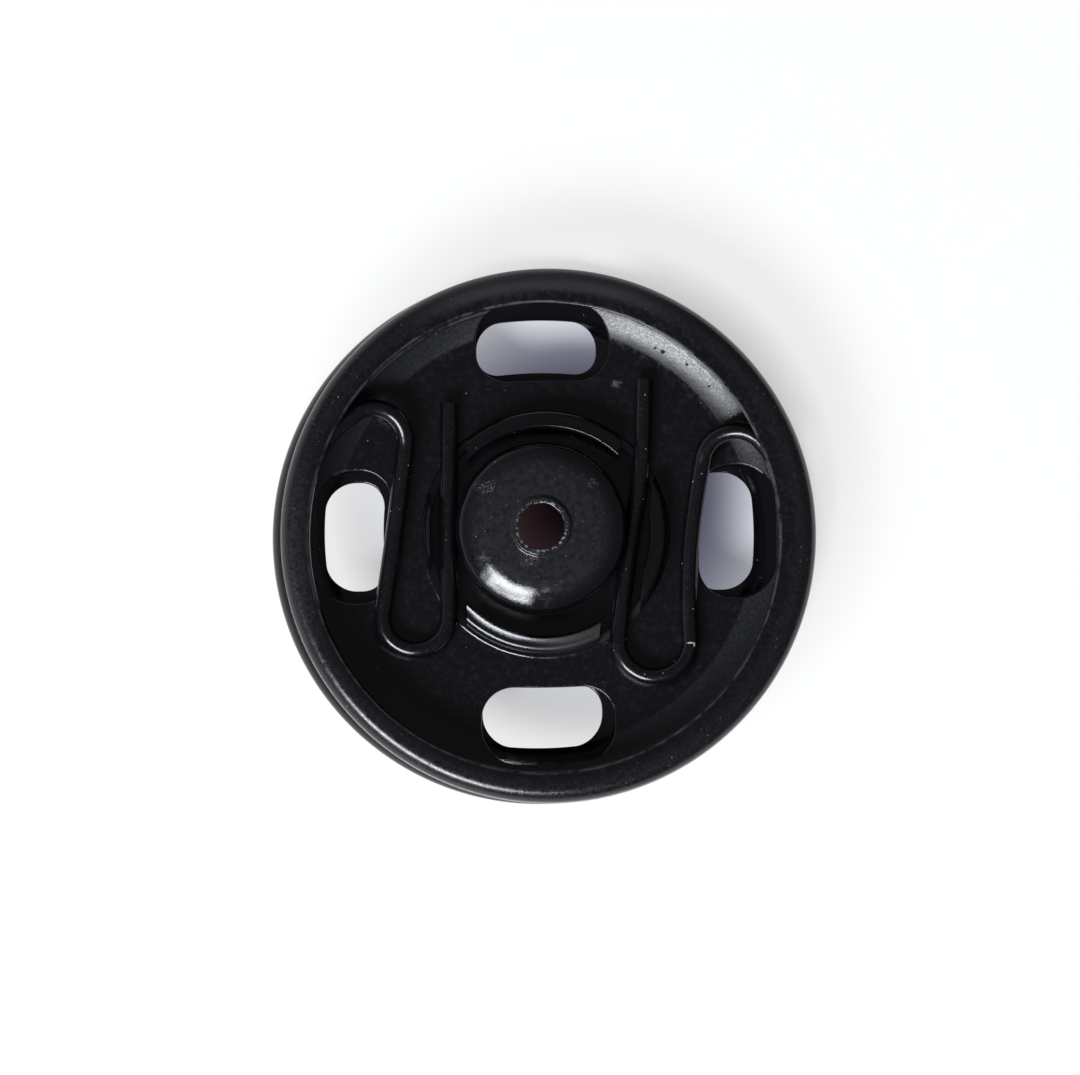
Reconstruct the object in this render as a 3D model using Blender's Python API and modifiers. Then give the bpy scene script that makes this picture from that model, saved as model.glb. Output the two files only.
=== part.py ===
"""A large sew-on snap fastener, closed: the ball half lies on the floor, the socket half on top of it.

Each half is one stamped sheet with a rolled rim. The socket half holds one bent spring wire, whose two
straight legs grip the neck of the ball. Lengths below are in millimetres, +Z is up, and the floor is z = 0.
"""

import math
from dataclasses import dataclass

import bmesh
import bpy

MM = 0.001

# Sheet and rims, the same for both halves
SHEET = 0.35
WEB_BAND = 3.665
STEPS = 52
PLATE_GAP = 0.3
DISH_WIDTH = 4.25
DISH_BEND = 5.0
DISH_ANGLE = 30.0
CORNER_BEND = 0.7
ROLL_BEND = 0.6
CREST_FLAT = 0.35
LIP_WIDTH = 1.74
LIP_DROP = 8.0
BALL_WALL = 0.05
SOCKET_WALL = 0.78

# Spring wire
WIRE_D = 1.0
WIRE_GAP = 0.2
RIM_GAP = 0.3
RIM_POINTS = 11
RING_LEAD = 9.0
KNEE_SHARE = 0.31

# Ball, drawn up from the web of the ball half
HEAD_R = 4.8
UNDERCUT = 0.55
NECK_WALL = 0.82
NECK_FILLET = 0.7
HEAD_OVER_LEGS = 0.95
BULGE_BEND = 0.5
CAP_TILT = 24.0
HOLE_R = 1.3
BURR_BEND = 0.3

# Collar, drawn up round the bore of the socket half
BORE_GAP = 0.91
FLARE_BEND = 1.1
FLARE_ANGLE = 30.0
COLLAR_BEND = 0.2
COLLAR_OVER_LEGS = 0.2
COLLAR_FILLET = 0.45
SLIT_GAP = 0.55
SLIT_FLOOR = 0.08

# Sewing slots: length along the rim, width, or land beside the collar, straight part of an end, how far
# the ends bend back towards the ball, and distance from the rim
BALL_SLOT_LENGTH = 6.7
BALL_SLOT_WIDTH = 3.3
BALL_SLOT_FLAT = 0.3
BALL_SLOT_BOW = 0.28
BALL_SLOT_IN = 2.95
SOCKET_SLOT_LENGTH = 7.5
SOCKET_SLOT_LAND = 1.55
SOCKET_SLOT_FLAT = 0.4
SOCKET_SLOT_BOW = 0.15
SOCKET_SLOT_IN = 2.1
SLOT_TURN = 1.0
EDGE_ROUND = 0.1

# Play between the halves, and how far each drawn middle sits off its rim
PLAY = (0.53, -0.22)
BALL_MIDDLE = (0.14, 0.25)
BALL_SLOTS_OFF = (0.02, 0.09)
SOCKET_MIDDLE = (-0.17, 0.26)

# Places that follow from the sizes above, from the ball outward to the rim, which is 30 mm across
NECK_R = HEAD_R - UNDERCUT
BORE_R = HEAD_R + BORE_GAP + SHEET / 2
FLARE_END_R = BORE_R + FLARE_BEND * math.sin(math.radians(FLARE_ANGLE))
COLLAR_R = FLARE_END_R + COLLAR_BEND + COLLAR_FILLET
RIM_R = COLLAR_R + WEB_BAND + DISH_WIDTH
WALL_R = RIM_R - SHEET / 2
WEB_R = RIM_R - DISH_WIDTH
LIP_R = RIM_R - LIP_WIDTH
SLOPE = math.radians(DISH_ANGLE)
BEND_END_R = WEB_R + DISH_BEND * math.sin(SLOPE)
CORNER_FOOT_R = WALL_R - CORNER_BEND * (1 - math.sin(SLOPE))
BEND_RISE = DISH_BEND * (1 - math.cos(SLOPE))
CORNER_RISE = BEND_RISE + (CORNER_FOOT_R - BEND_END_R) * math.tan(SLOPE) + CORNER_BEND * math.cos(SLOPE)
BALL_RISE = CORNER_RISE + BALL_WALL + ROLL_BEND
SOCKET_RISE = CORNER_RISE + SOCKET_WALL + ROLL_BEND
SOCKET_AT = (PLAY[0] / 2, PLAY[1] / 2)
BALL_AT = (-PLAY[0] / 2, -PLAY[1] / 2)
BALL_AXIS = (BALL_AT[0] + BALL_MIDDLE[0], BALL_AT[1] + BALL_MIDDLE[1])
BALL_WEB_Z = BALL_RISE + SHEET / 2
SOCKET_WEB_Z = BALL_WEB_Z + SHEET + PLATE_GAP
LEG_RISE = SHEET / 2 + WIRE_GAP + WIRE_D / 2
LEG_Z = SOCKET_WEB_Z + LEG_RISE
HEAD_Z = LEG_Z + HEAD_OVER_LEGS
SOCKET_SLOT_WIDTH = RIM_R - SOCKET_SLOT_IN - COLLAR_R - SOCKET_SLOT_LAND
COLLAR_RISE = LEG_RISE + WIRE_D / 2 + COLLAR_OVER_LEGS + SHEET / 2
RING_R = RIM_R - SHEET - RIM_GAP - WIRE_D / 2


@dataclass(frozen=True)
class Side:
    """One side of the spring, from its free end to the rim.

    Attributes:
        way: -1 on the left, 1 on the right.
        leg_gap: air between the leg and the neck of the ball.
        leg_lean: how far the leg's free end leans out from where it passes the neck.
        knee_out: how far the leg bends out between the neck and the free end.
        leg_end_in: how far the free end lies inside the edge of the lip, seen from above.
        foot_in: how far the leg's foot leans in from where it passes the neck.
        loop_gap: air between the loop and the edge of the lip, seen from above.
        loop_side_in: the loop's outer side, inward from the run under the lip.
        hook_angle: where the hook lies, above the X axis, in degrees.
        hook_side_in: the hook's outer side, inward from the run under the lip.
        hook_off: the hook's inner side, outward from where the leg passes the neck.
        hook_turn: angle of the hook's last point, above the X axis, in degrees.
        strand_in: how far the long strand bows in from a straight line.
    """

    way: int
    leg_gap: float
    leg_lean: float
    knee_out: float
    leg_end_in: float
    foot_in: float
    loop_gap: float
    loop_side_in: float
    hook_angle: float
    hook_side_in: float
    hook_off: float
    hook_turn: float
    strand_in: float


LEFT = Side(-1, 0.475, -0.025, 0.0, 3.86, 0.0, 2.2, 4.535, 28.8, 0.81, 2.4, 60.0, 0.05)
RIGHT = Side(1, 0.335, 0.685, 0.23, 2.85, 0.77, 2.42, 5.865, 20.9, 0.68, 3.91, 45.0, 0.36)


def clear_scene() -> None:
    """Removes whatever the file opened with."""
    for obj in list(bpy.data.objects):
        bpy.data.objects.remove(obj, do_unlink=True)


def new_collection(name: str) -> bpy.types.Collection:
    """Makes a collection in the scene."""
    collection = bpy.data.collections.new(name)
    bpy.context.scene.collection.children.link(collection)
    return collection


def metal(name: str, colour: tuple, roughness: float, metallic: float) -> bpy.types.Material:
    """Makes a plain Principled material."""
    material = bpy.data.materials.new(name)
    material.use_nodes = True
    shader = material.node_tree.nodes["Principled BSDF"]
    shader.inputs["Base Color"].default_value = (*colour, 1.0)
    shader.inputs["Roughness"].default_value = roughness
    shader.inputs["Metallic"].default_value = metallic
    return material


def arc(centre: tuple, radius: float, start: float, end: float, pieces: int) -> list:
    """Points along an arc, from one angle to the other in degrees."""
    turns = [math.radians(start + (end - start) * i / pieces) for i in range(pieces + 1)]
    return [(centre[0] + radius * math.cos(t), centre[1] + radius * math.sin(t)) for t in turns]


def dish_height(radius: float) -> float:
    """Height of the dish over the web, between the middles of the sheet."""
    if radius <= BEND_END_R:
        return DISH_BEND - math.sqrt(DISH_BEND**2 - (radius - WEB_R) ** 2)
    return BEND_RISE + (radius - BEND_END_R) * math.tan(SLOPE)


def rim_section(rise: float) -> list:
    """Middle of the sheet from the edge of the web, up the dish and over the rolled rim to its lip."""
    flat = WALL_R - ROLL_BEND - CREST_FLAT
    lip_z = rise - (flat - LIP_R) * math.tan(math.radians(LIP_DROP))
    dish = arc((WEB_R, DISH_BEND), DISH_BEND, -90, DISH_ANGLE - 90, 3)
    corner = arc((WALL_R - CORNER_BEND, CORNER_RISE), CORNER_BEND, DISH_ANGLE - 90, 0, 3)
    roll = arc((WALL_R - ROLL_BEND, rise - ROLL_BEND), ROLL_BEND, 0, 90, 4)
    return dish + corner + roll + [(flat, rise), (LIP_R, lip_z)]


def ball_section() -> list:
    """Middle of the ball half's sheet, from the pierced hole over the head and down the neck to the web."""
    neck = NECK_R - SHEET / 2
    bulge = HEAD_R - SHEET / 2 - BULGE_BEND
    equator = HEAD_Z - BALL_WEB_Z
    waist_z = NECK_FILLET + NECK_WALL
    lean = 2 * math.atan(UNDERCUT / (equator - waist_z))
    waist_bend = (equator - waist_z) / math.sin(lean) - BULGE_BEND
    flare = math.degrees(lean)
    tilt = math.radians(CAP_TILT)
    cap_bend = bulge / math.sin(tilt) + BULGE_BEND
    cap_z = equator - (cap_bend - BULGE_BEND) * math.cos(tilt)
    burr = HOLE_R + SHEET / 2 + BURR_BEND
    burr_z = cap_z + math.sqrt(cap_bend**2 - burr**2) + BURR_BEND
    cap_start = math.degrees(math.acos(burr / cap_bend))
    section = arc((burr, burr_z), BURR_BEND, 180, 270, 2)
    section += arc((0, cap_z), cap_bend, cap_start, 90 - CAP_TILT, 3)[1:]
    section += arc((bulge, equator), BULGE_BEND, 90 - CAP_TILT, -flare, 6)[1:]
    section += arc((neck + waist_bend, waist_z), waist_bend, 180 - flare, 180, 3)[1:]
    section += arc((neck + NECK_FILLET, NECK_FILLET), NECK_FILLET, 180, 270, 3)
    return section


def collar_section() -> list:
    """Middle of the socket half's sheet, from the flared edge of the bore over the collar to the web."""
    section = arc((FLARE_END_R, COLLAR_RISE + FLARE_BEND), FLARE_BEND, 270 - FLARE_ANGLE, 270, 3)
    section += arc((FLARE_END_R, COLLAR_RISE - COLLAR_BEND), COLLAR_BEND, 90, 0, 4)[1:]
    section += arc((COLLAR_R, COLLAR_FILLET), COLLAR_FILLET, 180, 270, 3)
    return section


def evaluated_mesh(obj: bpy.types.Object, name: str) -> bpy.types.Mesh:
    """The object's mesh with its modifiers applied."""
    graph = bpy.context.evaluated_depsgraph_get()
    graph.update()
    mesh = bpy.data.meshes.new_from_object(obj.evaluated_get(graph))
    mesh.name = name
    return mesh


def sheet_from(name: str, section: list, middle: tuple) -> bpy.types.Mesh:
    """Revolves the middle of a sheet, gives it its thickness, and moves the drawn middle off the rim's axis."""
    line = bpy.data.meshes.new(name + "_section")
    points = [(r * MM, 0.0, z * MM) for r, z in section]
    line.from_pydata(points, [(i, i + 1) for i in range(len(points) - 1)], [])
    raw = bpy.data.objects.new(name + "_section", line)
    bpy.context.scene.collection.objects.link(raw)
    screw = raw.modifiers.new("Revolve", "SCREW")
    screw.axis = "Z"
    screw.steps = screw.render_steps = STEPS
    thickness = raw.modifiers.new("Sheet", "SOLIDIFY")
    thickness.thickness = SHEET * MM
    thickness.offset = 0.0
    thickness.use_even_offset = True
    mesh = evaluated_mesh(raw, name)
    bpy.data.objects.remove(raw, do_unlink=True)
    for vertex in mesh.vertices:
        radius = math.hypot(vertex.co.x, vertex.co.y) / MM
        share = min(1.0, max(0.0, (LIP_R - radius) / (LIP_R - WEB_R)))
        share *= share * (3 - 2 * share)
        vertex.co.x += middle[0] * MM * share
        vertex.co.y += middle[1] * MM * share
    return mesh


def piece(name: str, mesh: bpy.types.Mesh, at: tuple, z: float, material, parts) -> bpy.types.Object:
    """Makes a named piece of the fastener from its mesh, smooth, with its material, and in its place."""
    mesh.materials.clear()
    mesh.materials.append(material)
    mesh.shade_smooth()
    mesh.set_sharp_from_angle(angle=math.radians(40))
    obj = bpy.data.objects.new(name, mesh)
    obj.location = (at[0] * MM, at[1] * MM, z * MM)
    parts.objects.link(obj)
    return obj


def slot_outline(length: float, width: float, flat: float, bow: float, grow: float) -> list:
    """A rounded slot round the origin, long along Y, whose two ends bend back towards -X."""
    half_l = length / 2 + grow
    half_w = width / 2 + grow
    bend = (width - flat) / 2 + grow
    points = []
    for turn, (sx, sy) in enumerate(((1, 1), (-1, 1), (-1, -1), (1, -1))):
        points += arc((sx * (half_w - bend), sy * (half_l - bend)), bend, 90 * turn, 90 * turn + 90, 4)
        if turn % 2:
            points += [(sx * half_w, sy * (half_l - bend) * (1 - i / 2)) for i in range(1, 4)]
    return [(x - bow * (y / half_l) ** 2, y) for x, y in points]


def slot_cutter(name: str, size: tuple, flat: float, bow: float, reach: float) -> bpy.types.Object:
    """A cutter for one sewing slot, straight through the sheet and rounded at the sheet's upper edge."""
    top = SHEET / 2
    levels = ((-SHEET * 3, 0.0), (top - EDGE_ROUND, 0.0), (top - 0.3 * EDGE_ROUND, 0.3 * EDGE_ROUND))
    levels += ((top + 0.1 * EDGE_ROUND, EDGE_ROUND), (SHEET * 3, EDGE_ROUND))
    builder = bmesh.new()
    rings = []
    for z, grow in levels:
        outline = slot_outline(*size, flat, bow, grow)
        rings.append([builder.verts.new(((x + reach) * MM, y * MM, z * MM)) for x, y in outline])
    count = len(rings[0])
    for lower, upper in zip(rings, rings[1:]):
        for i in range(count):
            j = (i + 1) % count
            builder.faces.new((lower[i], lower[j], upper[j], upper[i]))
    builder.faces.new(list(reversed(rings[0])))
    builder.faces.new(rings[-1])
    return cutter_from(name, builder)


def cutter_from(name: str, builder: bmesh.types.BMesh) -> bpy.types.Object:
    """Turns what a builder holds into a closed cutter that faces outward."""
    bmesh.ops.remove_doubles(builder, verts=builder.verts, dist=1e-7)
    bmesh.ops.recalc_face_normals(builder, faces=builder.faces)
    mesh = bpy.data.meshes.new(name)
    builder.to_mesh(mesh)
    builder.free()
    return bpy.data.objects.new(name, mesh)


def leg_slit_cutter(name: str, top: tuple, foot: tuple) -> bpy.types.Object:
    """A box along one leg of the spring, which opens the collar for it. Both ends lie outside the collar."""
    floor = SHEET / 2 + SLIT_FLOOR
    height = COLLAR_RISE + SHEET
    length = math.dist(top, foot)
    builder = bmesh.new()
    bmesh.ops.create_cube(builder, size=MM)
    bmesh.ops.scale(builder, vec=(WIRE_D + 2 * SLIT_GAP, length, height), verts=builder.verts)
    cutter = cutter_from(name, builder)
    middle = ((top[0] + foot[0]) / 2, (top[1] + foot[1]) / 2, SOCKET_WEB_Z + floor + height / 2)
    cutter.location = [value * MM for value in middle]
    cutter.rotation_euler.z = math.atan2(top[1] - foot[1], top[0] - foot[0]) - math.pi / 2
    return cutter


def cut(obj: bpy.types.Object, cutter: bpy.types.Object, cutters: bpy.types.Collection) -> None:
    """Adds a Boolean that takes the cutter out of the object, and files the cutter away."""
    cutters.objects.link(cutter)
    cutter.hide_render = True
    cutter.display_type = "WIRE"
    boolean = obj.modifiers.new(cutter.name, "BOOLEAN")
    boolean.operation = "DIFFERENCE"
    boolean.solver = "EXACT"
    boolean.object = cutter


def cut_slots(obj, name: str, size: tuple, flat: float, bow: float, inset: float, off: tuple, cutters) -> None:
    """Cuts the four sewing slots of one plate, whose outer edges lie this far in from the rim."""
    reach = RIM_R - inset - size[1] / 2
    for quarter in range(4):
        cutter = slot_cutter(f"{name}_{quarter + 1}", size, flat, bow, reach)
        cutter.rotation_euler.z = math.radians(90 * quarter + SLOT_TURN)
        cutter.location = obj.location
        cutter.location.x += off[0] * MM
        cutter.location.y += off[1] * MM
        cut(obj, cutter, cutters)


def make_ball_plate(parts, cutters) -> bpy.types.Object:
    """The lower half: its rim rolls down to the floor and the ball stands up from its web."""
    rim = [(r, -z) for r, z in rim_section(BALL_RISE)]
    mesh = sheet_from("ball_plate", ball_section() + rim, BALL_MIDDLE)
    enamel = metal("ball_enamel", (0.012, 0.012, 0.013), 0.34, 0.5)
    plate = piece("ball_plate", mesh, BALL_AT, BALL_WEB_Z, enamel, parts)
    size = (BALL_SLOT_LENGTH, BALL_SLOT_WIDTH)
    cut_slots(plate, "ball_slot", size, BALL_SLOT_FLAT, BALL_SLOT_BOW, BALL_SLOT_IN, BALL_SLOTS_OFF, cutters)
    return plate


def make_socket_plate(parts, cutters) -> bpy.types.Object:
    """The upper half: its rim rolls up and the collar stands round the bore that takes the ball."""
    mesh = sheet_from("socket_plate", collar_section() + rim_section(SOCKET_RISE), SOCKET_MIDDLE)
    enamel = metal("socket_enamel", (0.008, 0.008, 0.01), 0.22, 0.4)
    plate = piece("socket_plate", mesh, SOCKET_AT, SOCKET_WEB_Z, enamel, parts)
    size = (SOCKET_SLOT_LENGTH, SOCKET_SLOT_WIDTH)
    off = SOCKET_MIDDLE
    cut_slots(plate, "socket_slot", size, SOCKET_SLOT_FLAT, SOCKET_SLOT_BOW, SOCKET_SLOT_IN, off, cutters)
    for name, side in (("left_leg_slit", LEFT), ("right_leg_slit", RIGHT)):
        top, neck, foot = leg_points(side)
        middle = (neck[0] + side.way * side.knee_out / 2, neck[1])
        above = along(middle, top, COLLAR_R / math.dist(middle, top))
        below = along(middle, foot, COLLAR_R / math.dist(middle, foot))
        cut(plate, leg_slit_cutter(name, above, below), cutters)
    return plate


def along(start: tuple, end: tuple, share: float) -> tuple:
    """The point this share of the way from one point to another, or past it."""
    return tuple(a + (b - a) * share for a, b in zip(start, end))


def in_lip(x: float, inset: float, up: int) -> tuple:
    """The point at this x that lies this far inside the edge of the lip, above or below its middle."""
    return x, SOCKET_AT[1] + up * math.sqrt((LIP_R - inset) ** 2 - (x - SOCKET_AT[0]) ** 2)


def neck_line(side: Side) -> float:
    """Where a leg passes the neck of the ball."""
    return BALL_AXIS[0] + side.way * (NECK_R + side.leg_gap + WIRE_D / 2)


def loop_bend(side: Side) -> float:
    """Radius of a loop, which fills the space between the leg's foot and the loop's outer side."""
    foot_x = neck_line(side) - side.way * side.foot_in
    outer_x = SOCKET_AT[0] + side.way * (RING_R - side.loop_side_in)
    return side.way * (outer_x - foot_x) / 2


def leg_points(side: Side) -> tuple:
    """Free end of a leg, where it passes the neck of the ball, and where its loop begins."""
    neck_x = neck_line(side)
    foot_x = neck_x - side.way * side.foot_in
    bend = loop_bend(side)
    loop_y = in_lip(foot_x + side.way * bend, side.loop_gap + WIRE_D / 2 + bend, -1)[1]
    top = in_lip(neck_x + side.way * side.leg_lean, side.leg_end_in, 1)
    return top, (neck_x, BALL_AXIS[1]), (foot_x, loop_y)


def side_path(side: Side) -> list:
    """Centre line of one side of the spring, from its free end to the end of its hook."""
    way = side.way
    top, neck, foot = leg_points(side)
    bend = loop_bend(side)
    loop = (way * foot[0] + bend, foot[1])
    lift = math.radians(side.hook_angle)
    run = (RING_R - side.hook_side_in) * math.cos(lift) + way * SOCKET_AT[0]
    hook_bend = (run - way * neck[0] - side.hook_off) / (1 + math.cos(lift))
    reach = RING_R - side.hook_side_in - hook_bend
    hook = (way * SOCKET_AT[0] + reach * math.cos(lift), SOCKET_AT[1] + reach * math.sin(lift))
    span = math.dist(loop, hook)
    heading = math.atan2(hook[1] - loop[1], hook[0] - loop[0])
    heading += math.asin((bend + hook_bend) / span)
    lean = math.degrees(heading) - 90
    low = arc(loop, bend, 180, 360 + lean, 5)
    high = arc(hook, hook_bend, 180 + lean, side.hook_turn, 4)
    strand = []
    for i in range(1, 4):
        x, y = along(low[-1], high[0], i / 4)
        strand.append((x - side.strand_in * math.sin(math.pi * i / 4), y))
    flat = [(way * x, y, LEG_Z) for x, y in low]
    rising = strand + high
    knee = along(neck, top, KNEE_SHARE)
    path = [(*top, LEG_Z), (knee[0] + way * side.knee_out, knee[1], LEG_Z), (*neck, LEG_Z)] + flat
    for i, (x, y) in enumerate(rising):
        share = (i + 1) / (len(rising) + 1)
        path.append((way * x, y, LEG_Z + (ring_z() - LEG_Z) * share * share * (3 - 2 * share)))
    return path


def ring_z() -> float:
    """Height of the run under the lip, where the wire just clears the slope of the dish."""
    clear = (SHEET / 2 + RIM_GAP + WIRE_D / 2) / math.cos(SLOPE)
    return SOCKET_WEB_Z + dish_height(RING_R) + clear


def wire_path() -> list:
    """Centre line of the whole spring: one side, the run under the lip, and the other side."""
    start = 180 - LEFT.hook_angle + RING_LEAD
    end = 360 + RIGHT.hook_angle - RING_LEAD
    run = arc(SOCKET_AT, RING_R, start, end, RIM_POINTS - 1)
    return side_path(LEFT) + [(x, y, ring_z()) for x, y in run] + list(reversed(side_path(RIGHT)))


def make_snap_spring(parts) -> bpy.types.Object:
    """The bent wire: two legs beside the ball, two loops, two hooks and the run under the lip between them."""
    curve = bpy.data.curves.new("snap_spring_line", "CURVE")
    curve.dimensions = "3D"
    curve.twist_mode = "Z_UP"
    curve.resolution_u = 4
    curve.bevel_depth = WIRE_D / 2 * MM
    curve.bevel_resolution = 3
    curve.use_fill_caps = True
    spline = curve.splines.new("BEZIER")
    path = wire_path()
    spline.bezier_points.add(len(path) - 1)
    origin = (*SOCKET_AT, SOCKET_WEB_Z)
    for point, place in zip(spline.bezier_points, path):
        point.co = [(value - zero) * MM for value, zero in zip(place, origin)]
        point.handle_left_type = point.handle_right_type = "AUTO"
    line = bpy.data.objects.new("snap_spring_line", curve)
    bpy.context.scene.collection.objects.link(line)
    builder = bmesh.new()
    builder.from_mesh(evaluated_mesh(line, "snap_spring_line"))
    bpy.data.objects.remove(line, do_unlink=True)
    bmesh.ops.remove_doubles(builder, verts=builder.verts, dist=1e-7)
    bmesh.ops.recalc_face_normals(builder, faces=builder.faces)
    mesh = bpy.data.meshes.new("snap_spring")
    builder.to_mesh(mesh)
    builder.free()
    enamel = metal("spring_enamel", (0.01, 0.01, 0.01), 0.2, 0.5)
    return piece("snap_spring", mesh, SOCKET_AT, SOCKET_WEB_Z, enamel, parts)


def main() -> None:
    """Builds the three pieces."""
    clear_scene()
    parts = new_collection("snap_fastener")
    cutters = new_collection("cutters")
    cutters.hide_render = True
    make_ball_plate(parts, cutters)
    make_socket_plate(parts, cutters)
    make_snap_spring(parts)


main()
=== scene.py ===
"""The looks of a large black sew-on snap fastener, closed, seen from almost straight above on a white ground.

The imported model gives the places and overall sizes. This script builds the two stamped plates and the bent
spring again with fine sections, dresses them in worn black enamel, and sets up the studio and the camera.
Lengths are in millimetres until a mesh is made. +Z is up and the floor is z = 0.
"""

import logging
import math
from dataclasses import dataclass, field, replace
from enum import Enum
from typing import NamedTuple

import bmesh
import bpy
import numpy as np
from mathutils import Matrix, Vector


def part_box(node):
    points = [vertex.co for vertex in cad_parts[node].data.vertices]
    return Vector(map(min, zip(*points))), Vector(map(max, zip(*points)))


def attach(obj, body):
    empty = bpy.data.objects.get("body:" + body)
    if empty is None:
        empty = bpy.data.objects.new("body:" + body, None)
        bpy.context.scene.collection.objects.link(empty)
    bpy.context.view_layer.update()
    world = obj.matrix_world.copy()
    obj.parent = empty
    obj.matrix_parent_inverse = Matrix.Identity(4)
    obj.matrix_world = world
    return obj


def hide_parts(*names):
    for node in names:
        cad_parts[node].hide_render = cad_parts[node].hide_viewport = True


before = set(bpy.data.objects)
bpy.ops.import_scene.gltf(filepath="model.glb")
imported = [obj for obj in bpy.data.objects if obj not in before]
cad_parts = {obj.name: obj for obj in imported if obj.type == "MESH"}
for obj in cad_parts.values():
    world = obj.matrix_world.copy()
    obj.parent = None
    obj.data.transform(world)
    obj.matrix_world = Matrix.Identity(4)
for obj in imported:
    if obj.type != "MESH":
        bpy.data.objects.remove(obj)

MM = 0.001
log = logging.getLogger("snap_fastener")

# Share of each finer size in the noise of every finish
NOISE_MIX = 0.6
# Turns that round a cut edge, and the waves round the rim that make a lip's edge wander
EDGE_TURNS = np.radians((0, 30, 60, 90))
WANDER_WAVES = (3, 7, 13, 19, 29)

Point = tuple[float, float]
Path3 = list[tuple[float, float, float]]
Colour = tuple[float, float, float, float]
Socket = bpy.types.NodeSocket
Value = Socket | float | tuple


class Half(Enum):
    """The two halves of the fastener, by the name of the body that carries each."""

    BALL = "ball_half"
    SOCKET = "socket_half"


class Way(Enum):
    """The side of the spring, as a sign along the X axis."""

    LEFT = -1
    RIGHT = 1


class Join(Enum):
    """How masks are joined, by the calculation that does it."""

    ALL = "MULTIPLY"
    ANY = "MAXIMUM"


def linear(hex_colour: str) -> Colour:
    """Turns an sRGB colour into Blender's linear one.

    Args:
        hex_colour: six digits, with or without a leading #.

    Returns:
        Linear red, green and blue, and an alpha of 1.
    """
    digits = hex_colour.lstrip("#")
    values = [int(digits[i : i + 2], 16) / 255 for i in (0, 2, 4)]
    red, green, blue = (v / 12.92 if v <= 0.04045 else ((v + 0.055) / 1.055) ** 2.4 for v in values)
    return red, green, blue, 1.0


def grey(level: float) -> Colour:
    """A grey of this level, for a value that goes through a colour socket."""
    return level, level, level, 1.0


def eased(share: float | np.ndarray) -> float | np.ndarray:
    """A share from 0 to 1 that starts and ends slowly."""
    return share * share * (3 - 2 * share)


def per_metre(size_mm: float) -> float:
    """Scale of a texture whose features are this many millimetres apart."""
    return 1.0 / (size_mm * MM)


def arc(centre: Point, radius: float, start: float, end: float, spacing: float) -> list[Point]:
    """Points along an arc.

    Args:
        centre: the arc's centre.
        radius: its radius.
        start: first angle in degrees.
        end: last angle in degrees.
        spacing: wished distance between points.

    Returns:
        The points, both ends included.
    """
    length = abs(math.radians(end - start)) * radius
    count = max(4, math.ceil(length / spacing))
    turns = [math.radians(start + (end - start) * i / count) for i in range(count + 1)]
    return [(centre[0] + radius * math.cos(t), centre[1] + radius * math.sin(t)) for t in turns]


def filled_line(points: list[Point], spacing: float) -> list[Point]:
    """Adds points to the long straight parts of a line.

    Args:
        points: the line.
        spacing: the widest gap that may stay.

    Returns:
        The line with the points added.
    """
    filled = [points[0]]
    for here, there in zip(points, points[1:]):
        count = max(1, math.ceil(math.dist(here, there) / spacing))
        for i in range(1, count + 1):
            filled.append(tuple(a + (b - a) * i / count for a, b in zip(here, there)))
    return filled


def sheet_outline(middle: list[Point], sheet: float, edge: float) -> list[Point]:
    """Closed section of a sheet with softened edges, from the line down its middle.

    Args:
        middle: points along the middle of the sheet.
        sheet: thickness.
        edge: radius that softens the corners of both cut edges.

    Returns:
        The points of the closed outline, in order.
    """
    line = np.array(middle)
    along = np.gradient(line, axis=0)
    along /= np.linalg.norm(along, axis=1)[:, None]
    across = np.stack([-along[:, 1], along[:, 0]], axis=1) * (sheet / 2)
    first, last = along[0], along[-1]
    outline = []
    for side, tip, ahead in ((line + across, -1, last), (line[::-1] - across[::-1], 0, -first)):
        outline += [tuple(p) for p in side[1:-1]]
        corner = side[-1] - ahead * edge
        inward = (line[tip] - side[-1]) / (sheet / 2)
        for turn in EDGE_TURNS:
            outline.append(tuple(corner + ahead * edge * math.sin(turn) + inward * edge * (1 - math.cos(turn))))
        far = side[-1] + inward * (sheet - edge)
        for turn in EDGE_TURNS:
            outline.append(tuple(far - ahead * edge * (1 - math.cos(turn)) + inward * edge * math.sin(turn)))
    return outline


def evaluated(obj: bpy.types.Object, name: str) -> bpy.types.Mesh:
    """Applies an object's modifiers.

    Args:
        obj: the object.
        name: name of the new mesh.

    Returns:
        The resulting mesh.
    """
    graph = bpy.context.evaluated_depsgraph_get()
    graph.update()
    mesh = bpy.data.meshes.new_from_object(obj.evaluated_get(graph))
    mesh.name = name
    return mesh


def link(obj: bpy.types.Object) -> bpy.types.Object:
    """Puts an object into the scene."""
    bpy.context.scene.collection.objects.link(obj)
    return obj


def revolved(name: str, outline: list[Point], steps: int) -> bpy.types.Mesh:
    """Turns a closed section round the Z axis.

    Args:
        name: name of the mesh.
        outline: closed section, as radius and height in millimetres.
        steps: number of steps round the axis.

    Returns:
        The closed mesh, in metres.
    """
    section = bpy.data.meshes.new(name + "_section")
    count = len(outline)
    points = [(r * MM, 0.0, z * MM) for r, z in outline]
    section.from_pydata(points, [(i, (i + 1) % count) for i in range(count)], [])
    raw = link(bpy.data.objects.new(name + "_section", section))
    screw = raw.modifiers.new("Revolve", "SCREW")
    screw.axis = "Z"
    screw.steps = screw.render_steps = steps
    mesh = evaluated(raw, name)
    bpy.data.objects.remove(raw, do_unlink=True)
    builder = bmesh.new()
    builder.from_mesh(mesh)
    bmesh.ops.remove_doubles(builder, verts=builder.verts, dist=1e-8)
    bmesh.ops.recalc_face_normals(builder, faces=builder.faces)
    builder.to_mesh(mesh)
    builder.free()
    return mesh


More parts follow.
